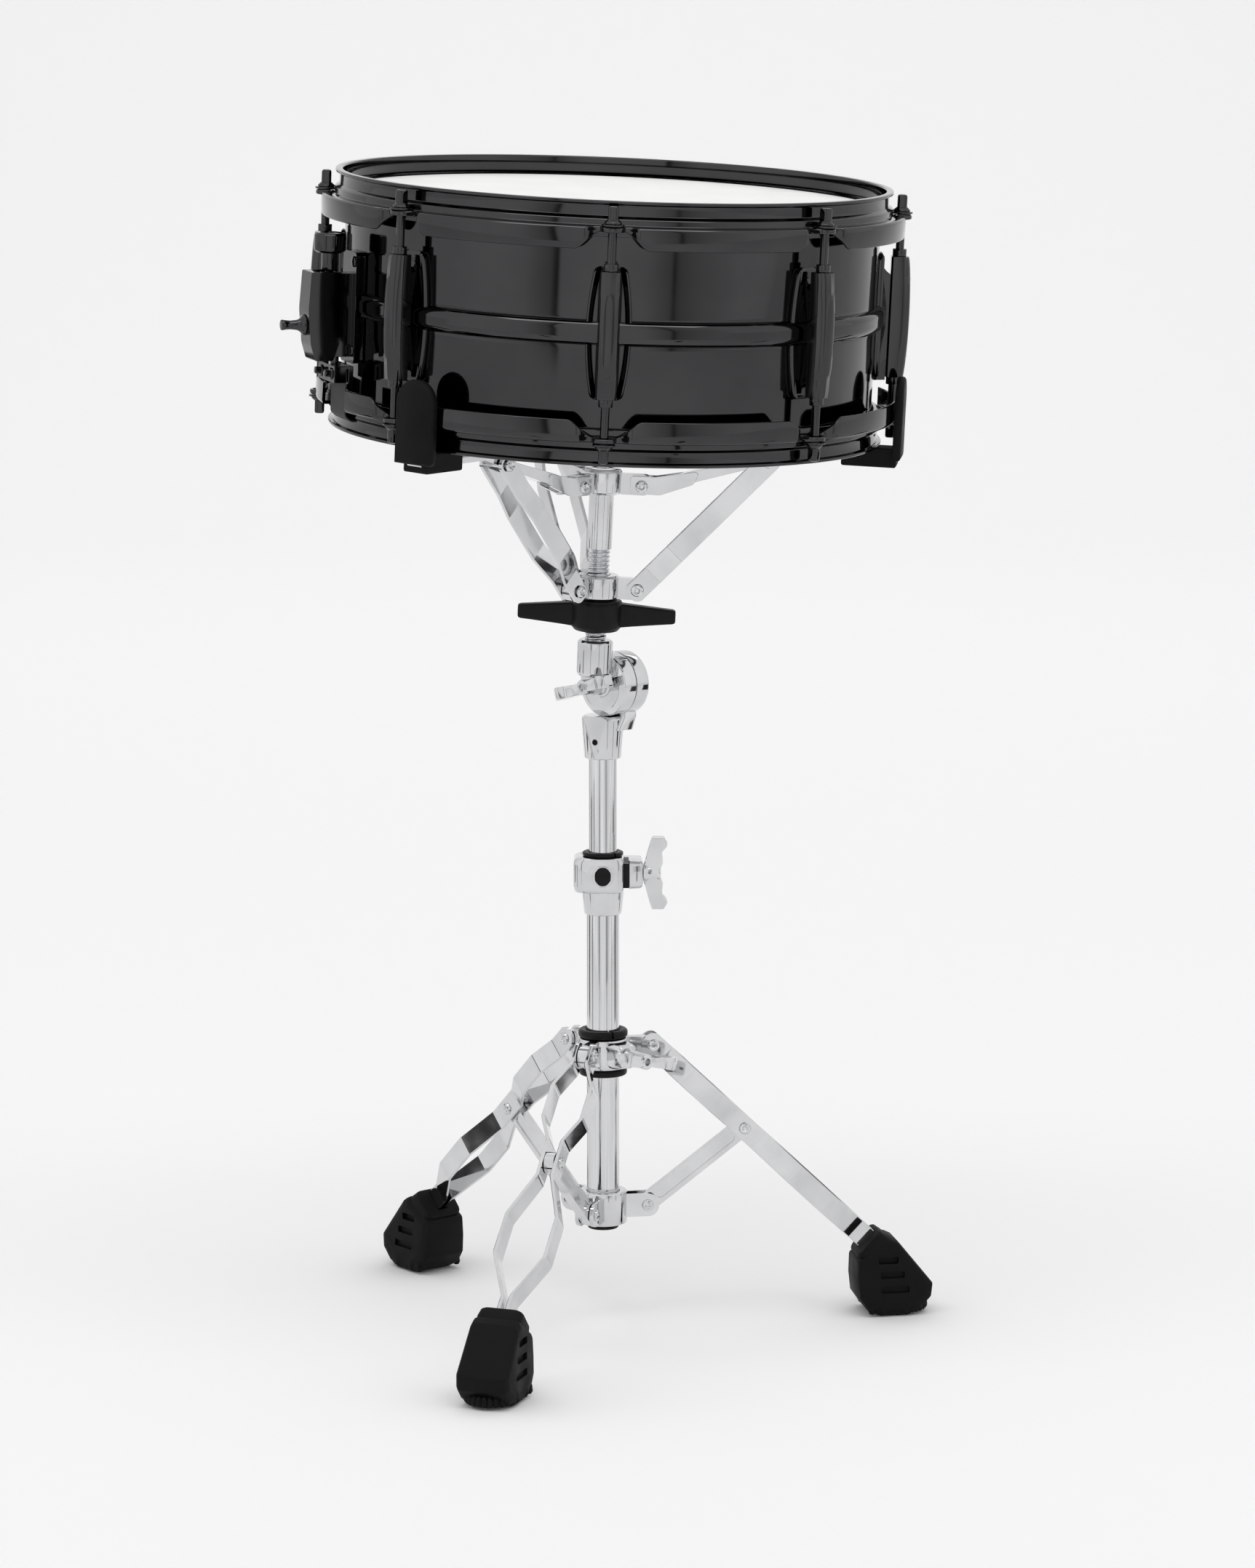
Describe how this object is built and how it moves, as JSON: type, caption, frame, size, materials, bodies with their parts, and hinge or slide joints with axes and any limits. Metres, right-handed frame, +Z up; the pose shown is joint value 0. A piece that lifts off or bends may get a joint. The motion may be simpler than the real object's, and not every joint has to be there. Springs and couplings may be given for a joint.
{
  "type": "snare drum",
  "caption": "Black nickel 14 inch snare drum with coated head, held by a rubber-tipped basket on a chrome folding tripod stand with ratchet tilter.",
  "frame": {"origin": "on the floor, under the middle of the whole object's box", "axes": "+Z up along the column; +X to the right and +Y away when the throw-off is on the left"},
  "size_m": [0.4382, 0.4132, 0.7976],
  "materials": {
    "black_nickel": "polished black nickel plate",
    "chrome": "bright chrome plate",
    "rubber": "matt moulded rubber",
    "plastic": "black glass-filled nylon",
    "drumhead": "coated polyester film on a flesh hoop",
    "snare_steel": "coiled steel strands with brass-coloured end plates"
  },
  "bodies": {
    "base": {"base_tube": "chrome", "lower_bracket": "chrome", "height_clamp": "chrome"},
    "leg_collar": {"leg_collar": "chrome", "collar_bushing": "plastic"},
    "collar_wing": {"collar_wing_bolt": "chrome"},
    "leg_1": {"leg_1": "chrome", "foot_1": "rubber"},
    "strut_1": {"strut_1": "chrome"},
    "leg_2": {"leg_2": "chrome", "foot_2": "rubber"},
    "strut_2": {"strut_2": "chrome"},
    "leg_3": {"leg_3": "chrome", "foot_3": "rubber"},
    "strut_3": {"strut_3": "chrome"},
    "clamp_wing": {"clamp_wing_bolt": "chrome"},
    "swivel_bushing": {"clamp_bushing": "plastic"},
    "upper_column": {"upper_tube": "chrome", "tilter_lower": "chrome"},
    "head": {"tilter_upper": "chrome", "basket_spindle": "chrome"},
    "tilter_wing": {"tilter_wing_bolt": "chrome"},
    "slider": {"basket_slider": "chrome"},
    "nut": {"basket_nut": "plastic"},
    "arm_1": {"arm_1": "chrome", "grip_1": "rubber"},
    "link_1": {"link_1": "chrome"},
    "arm_2": {"arm_2": "chrome", "grip_2": "rubber"},
    "link_2": {"link_2": "chrome"},
    "arm_3": {"arm_3": "chrome", "grip_3": "rubber"},
    "link_3": {"link_3": "chrome"},
    "drum": {"shell": "black_nickel", "batter_head": "drumhead", "snare_side_head": "drumhead", "top_hoop": "black_nickel", "bottom_hoop": "black_nickel", "lug_1": "black_nickel", "lug_2": "black_nickel", "lug_3": "black_nickel", "lug_4": "black_nickel", "lug_5": "black_nickel", "lug_6": "black_nickel", "lug_7": "black_nickel", "lug_8": "black_nickel", "tension_rods_1": "black_nickel", "tension_rods_2": "black_nickel", "tension_rods_3": "black_nickel", "tension_rods_4": "black_nickel", "tension_rods_5": "black_nickel", "tension_rods_6": "black_nickel", "tension_rods_7": "black_nickel", "tension_rods_8": "black_nickel", "strainer_housing": "black_nickel", "butt_plate": "black_nickel"},
    "throw_lever": {"strainer_lever": "black_nickel"},
    "strainer_knob": {"strainer_knob": "black_nickel"},
    "snare_set": {"snare_wires": "snare_steel", "strainer_clamp": "black_nickel"}
  },
  "joints": [
    {"name": "leg_collar_slide", "type": "slide", "parent": "base", "child": "leg_collar", "axis": [0, 0, 1], "range_m": [0, 0.054]},
    {"name": "collar_wing_turn", "type": "hinge", "parent": "leg_collar", "child": "collar_wing", "pos_m": [0.00854, -0.00483, 0.192], "axis": [0.6428, -0.766, 0], "range_deg": [0, 360]},
    {"name": "leg_1_fold", "type": "hinge", "parent": "leg_collar", "child": "leg_1", "pos_m": [0.02274, 0.02405, 0.196], "axis": [-0.1736, 0.9848, 0], "range_deg": [0, 28.82]},
    {"name": "leg_2_fold", "type": "hinge", "parent": "leg_collar", "child": "leg_2", "pos_m": [-0.0326, 0.04419, 0.196], "axis": [-0.766, -0.6428, 0], "range_deg": [0, 28.82]},
    {"name": "leg_3_fold", "type": "hinge", "parent": "leg_collar", "child": "leg_3", "pos_m": [-0.02237, -0.0138, 0.196], "axis": [0.9397, -0.342, 0], "range_deg": [0, 28.82]},
    {"name": "strut_1_fold", "type": "hinge", "parent": "base", "child": "strut_1", "pos_m": [0.0188, 0.02336, 0.084], "axis": [0.1736, -0.9848, 0], "range_deg": [0, 31.52]},
    {"name": "strut_2_fold", "type": "hinge", "parent": "base", "child": "strut_2", "pos_m": [-0.03003, 0.04113, 0.084], "axis": [0.766, 0.6428, 0], "range_deg": [0, 31.52]},
    {"name": "strut_3_fold", "type": "hinge", "parent": "base", "child": "strut_3", "pos_m": [-0.021, -0.01004, 0.084], "axis": [-0.9397, 0.342, 0], "range_deg": [0, 31.52]},
    {"name": "clamp_wing_turn", "type": "hinge", "parent": "base", "child": "clamp_wing", "pos_m": [0.01926, 0.01815, 0.316], "axis": [1, 0, 0], "range_deg": [0, 360]},
    {"name": "column_swivel", "type": "hinge", "parent": "base", "child": "swivel_bushing", "pos_m": [-0.01074, 0.01815, 0.316], "axis": [0, 0, 1], "continuous": true},
    {"name": "height_slide", "type": "slide", "parent": "swivel_bushing", "child": "upper_column", "axis": [0, 0, 1], "range_m": [-0.06, 0.1]},
    {"name": "basket_tilt", "type": "hinge", "parent": "upper_column", "child": "head", "pos_m": [-0.00274, 0.01815, 0.446], "axis": [0.7071, 0.7071, 0], "range_deg": [-90, 85]},
    {"name": "tilter_wing_turn", "type": "hinge", "parent": "head", "child": "tilter_wing", "pos_m": [-0.02396, -0.00306, 0.446], "axis": [-0.7071, -0.7071, 0], "range_deg": [0, 360]},
    {"name": "basket_slide", "type": "slide", "parent": "head", "child": "slider", "axis": [0.0432, -0.0432, 0.9981], "range_m": [-0.0055, 0]},
    {"name": "basket_nut_turn", "type": "hinge", "parent": "slider", "child": "nut", "pos_m": [-0.01477, 0.00189, 0.49491], "axis": [0.0432, -0.0432, 0.9981], "range_deg": [-662, 0]},
    {"name": "arm_1_pivot", "type": "hinge", "parent": "head", "child": "arm_1", "pos_m": [-0.02767, -0.02376, 0.58352], "axis": [-0.792, 0.6075, 0.0605], "range_deg": [-4.8, 0]},
    {"name": "arm_2_pivot", "type": "hinge", "parent": "head", "child": "arm_2", "pos_m": [0.01631, -0.00551, 0.58241], "axis": [-0.1313, -0.9906, -0.0372], "range_deg": [-4.8, 0]},
    {"name": "arm_3_pivot", "type": "hinge", "parent": "head", "child": "arm_3", "pos_m": [-0.02142, 0.02342, 0.58529], "axis": [0.9234, 0.3832, -0.0234], "range_deg": [-4.8, 0]},
    {"name": "link_1_pivot", "type": "hinge", "parent": "slider", "child": "link_1", "pos_m": [-0.0307, -0.02074, 0.51365], "axis": [-0.792, 0.6075, 0.0605], "range_deg": [-1.1, 0]},
    {"name": "link_2_pivot", "type": "hinge", "parent": "slider", "child": "link_2", "pos_m": [0.01329, -0.00249, 0.51254], "axis": [-0.1313, -0.9906, -0.0372], "range_deg": [-1.1, 0]},
    {"name": "link_3_pivot", "type": "hinge", "parent": "slider", "child": "link_3", "pos_m": [-0.02444, 0.02644, 0.51542], "axis": [0.9234, 0.3832, -0.0234], "range_deg": [-1.1, 0]},
    {"name": "drum_lift", "type": "slide", "parent": "head", "child": "drum", "axis": [0.0432, -0.0432, 0.9981], "range_m": [0, 0.16]},
    {"name": "snare_throw", "type": "hinge", "parent": "drum", "child": "throw_lever", "pos_m": [-0.19172, -0.08247, 0.67825], "axis": [0.3815, -0.9227, -0.0564], "range_deg": [0, 70.5]},
    {"name": "snare_tension_turn", "type": "hinge", "parent": "drum", "child": "strainer_knob", "pos_m": [-0.1861, -0.08417, 0.74405], "axis": [0.0432, -0.0432, 0.9981], "range_deg": [-360, 360]},
    {"name": "snare_drop", "type": "slide", "parent": "drum", "child": "snare_set", "axis": [0.0432, -0.0432, 0.9981], "range_m": [-0.004, 0]}
  ],
  "couplings": [
    {"joint": "leg_1_fold", "follows": "leg_collar_slide", "rad_per_m": 9.2502},
    {"joint": "leg_2_fold", "follows": "leg_collar_slide", "rad_per_m": 9.2502},
    {"joint": "leg_3_fold", "follows": "leg_collar_slide", "rad_per_m": 9.2502},
    {"joint": "strut_1_fold", "follows": "leg_collar_slide", "rad_per_m": 10.123},
    {"joint": "strut_2_fold", "follows": "leg_collar_slide", "rad_per_m": 10.123},
    {"joint": "strut_3_fold", "follows": "leg_collar_slide", "rad_per_m": 10.123},
    {"joint": "basket_nut_turn", "follows": "basket_slide", "rad_per_m": 2094.4},
    {"joint": "arm_1_pivot", "follows": "basket_slide", "rad_per_m": 14.885},
    {"joint": "arm_2_pivot", "follows": "basket_slide", "rad_per_m": 14.885},
    {"joint": "arm_3_pivot", "follows": "basket_slide", "rad_per_m": 14.885},
    {"joint": "link_1_pivot", "follows": "basket_slide", "rad_per_m": 3.141},
    {"joint": "link_2_pivot", "follows": "basket_slide", "rad_per_m": 3.141},
    {"joint": "link_3_pivot", "follows": "basket_slide", "rad_per_m": 3.141},
    {"joint": "snare_throw", "follows": "snare_drop", "rad_per_m": -305.43}
  ]
}
